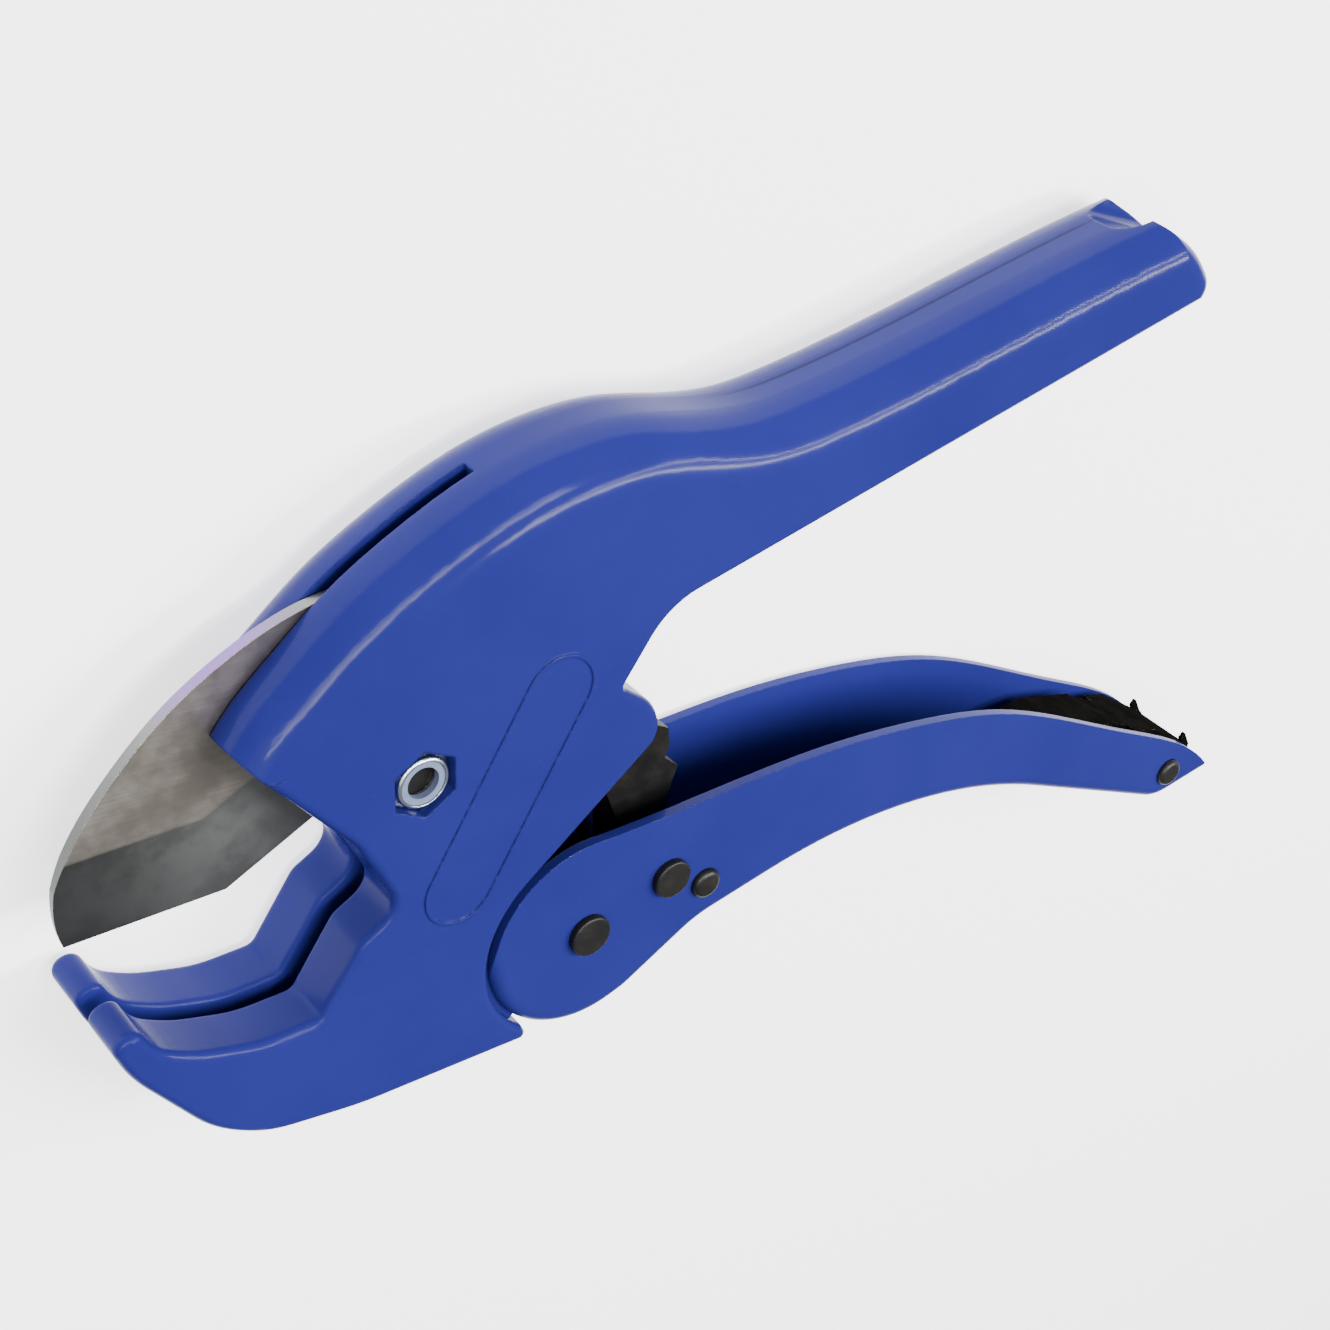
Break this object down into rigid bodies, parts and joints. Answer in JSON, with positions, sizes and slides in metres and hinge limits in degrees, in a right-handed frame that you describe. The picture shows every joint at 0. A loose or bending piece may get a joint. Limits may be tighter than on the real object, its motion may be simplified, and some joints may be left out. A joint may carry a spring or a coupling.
{
  "type": "ratchet pipe cutter",
  "caption": "Hand cutter for plastic pipe: blue cast jaw and handle, V-edged blade, and a sheet-steel lever with a ratchet and a fold-out latch.",
  "frame": {"origin": "middle of the bounding box's underside", "axes": "+X along the upper handle, towards its end; +Y towards the tool's back; +Z from the bolt-head side to the nut side. The tool lies on its bolt-head side."},
  "size_m": [0.2238, 0.1514, 0.0258],
  "materials": {
    "body_paint": "semi-gloss",
    "lever_paint": "semi-gloss",
    "blade_steel": "ground",
    "zinc_steel": "satin",
    "spring_steel": "satin",
    "black_steel": "satin",
    "nylon": "matte"
  },
  "bodies": {
    "frame": {"body_casting": "body_paint", "pivot_bolt": "zinc_steel", "lock_nut": "zinc_steel", "nut_insert": "nylon", "blade_spacers": "zinc_steel", "blade_spring": "spring_steel", "hold_pawl_spring": "spring_steel"},
    "blade": {"blade": "blade_steel"},
    "hold_pawl": {"hold_pawl": "black_steel"},
    "lever": {"lever": "lever_paint", "lever_pivot_rivet": "black_steel", "lever_washers": "zinc_steel", "lever_spring": "spring_steel", "pawl_rivet": "black_steel", "pawl_spacers": "zinc_steel", "drive_pawl_spring": "spring_steel", "spring_rivet": "black_steel", "latch_rivet": "black_steel", "latch_spacers": "zinc_steel", "latch_washer": "spring_steel"},
    "drive_pawl": {"drive_pawl": "black_steel"},
    "latch": {"latch": "black_steel"}
  },
  "joints": [
    {"name": "blade_pivot", "type": "hinge", "parent": "frame", "child": "blade", "pos_m": [-0.05466, 0.03546, 0.0129], "axis": [0, 0, 1], "range_deg": [-38, 45]},
    {"name": "lever_pivot", "type": "hinge", "parent": "frame", "child": "lever", "pos_m": [-0.03386, -0.01354, 0.0129], "axis": [0, 0, 1], "range_deg": [0, 40], "stiffness_Nm_per_rad": 0.4, "springref_deg": -17.19},
    {"name": "hold_pawl_pivot", "type": "hinge", "parent": "frame", "child": "hold_pawl", "pos_m": [-0.03386, -0.01354, 0.0129], "axis": [0, 0, 1], "range_deg": [-10, 0], "stiffness_Nm_per_rad": 0.02, "springref_deg": 5.73},
    {"name": "drive_pawl_pivot", "type": "hinge", "parent": "lever", "child": "drive_pawl", "pos_m": [-0.01666, -0.01254, 0.0129], "axis": [0, 0, 1], "range_deg": [-56, 0]},
    {"name": "latch_pivot", "type": "hinge", "parent": "lever", "child": "latch", "pos_m": [0.10084, -0.06874, 0.0129], "axis": [0, 0, 1], "range_deg": [-105, 0]}
  ],
  "couplings": [
    {"joint": "drive_pawl_pivot", "follows": "lever_pivot", "ratio": -1.385}
  ]
}
